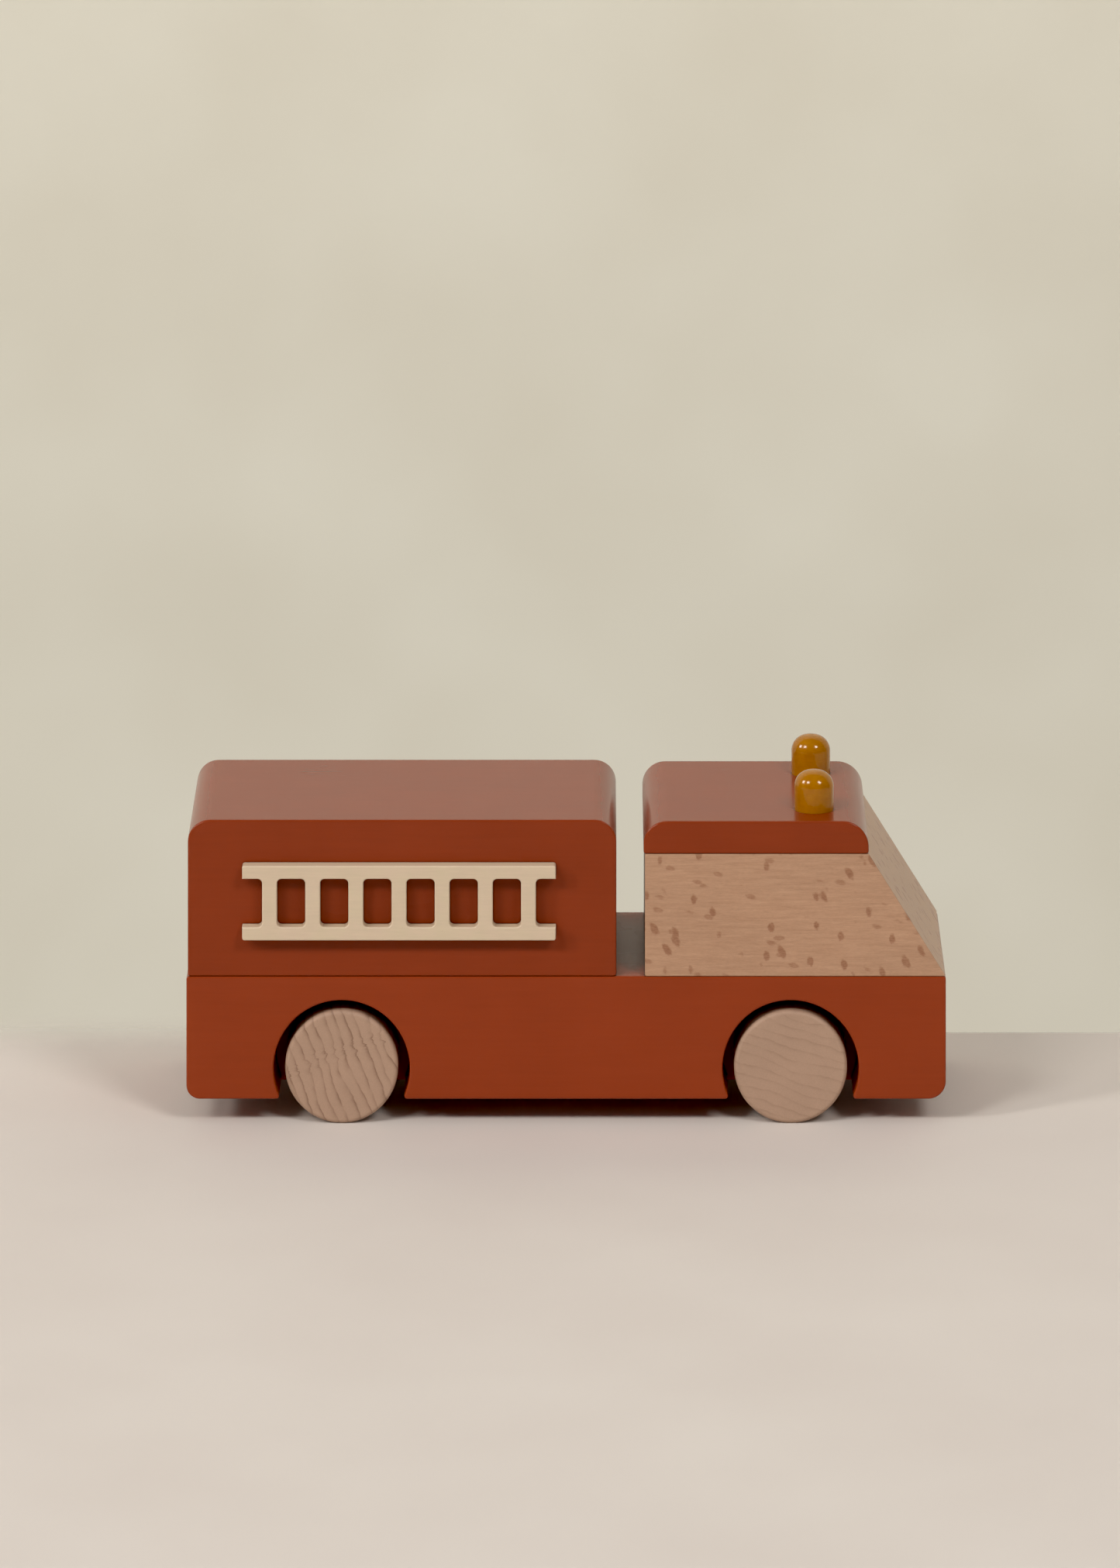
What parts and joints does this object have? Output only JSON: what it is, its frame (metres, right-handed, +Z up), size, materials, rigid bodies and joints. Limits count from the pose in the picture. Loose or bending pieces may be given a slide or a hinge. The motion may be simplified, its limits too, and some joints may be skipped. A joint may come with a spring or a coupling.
{
  "type": "toy fire engine",
  "caption": "Wooden push-along toy fire engine: painted blocks on a rolling chassis, bare wood cab with a sloping front, side ladders and round roof beacons.",
  "frame": {"origin": "on the ground, under the middle of the chassis", "axes": "+X points to the nose, +Y to the left side, +Z up"},
  "size_m": [0.2148, 0.0778, 0.0968],
  "materials": {
    "red_paint": "satin rust-red lacquer on beech",
    "bare_beech": "clear-lacquered beech, side grain",
    "wheel_beech": "beech, end grain on the faces, lightly sanded",
    "cream_paint": "matt cream paint on beech",
    "mustard_paint": "gloss mustard lacquer on beech",
    "axle_steel": "drawn steel rod",
    "washer_nylon": "natural nylon",
    "dowel_wood": "raw beech dowel"
  },
  "bodies": {
    "toy": {"chassis": "red_paint", "rear_body": "red_paint", "cab_block": "bare_beech", "cab_roof": "red_paint", "ladder_left": "cream_paint", "ladder_right": "cream_paint", "beacon_left": "mustard_paint", "beacon_right": "mustard_paint", "body_dowel_rear": "dowel_wood", "body_dowel_front": "dowel_wood", "cab_dowel_rear": "dowel_wood", "cab_dowel_front": "dowel_wood", "roof_dowel_rear": "dowel_wood", "roof_dowel_front": "dowel_wood"},
    "front_wheelset": {"front_axle": "axle_steel", "wheel_front_left": "wheel_beech", "wheel_front_right": "wheel_beech", "washer_front_left": "washer_nylon", "washer_front_right": "washer_nylon"},
    "rear_wheelset": {"rear_axle": "axle_steel", "wheel_rear_left": "wheel_beech", "wheel_rear_right": "wheel_beech", "washer_rear_left": "washer_nylon", "washer_rear_right": "washer_nylon"}
  },
  "joints": [
    {"name": "front_wheels_turn", "type": "hinge", "parent": "toy", "child": "front_wheelset", "pos_m": [0.0635, 0, 0.016], "axis": [0, 1, 0], "continuous": true},
    {"name": "rear_wheels_turn", "type": "hinge", "parent": "toy", "child": "rear_wheelset", "pos_m": [-0.0635, 0, 0.016], "axis": [0, 1, 0], "continuous": true}
  ]
}
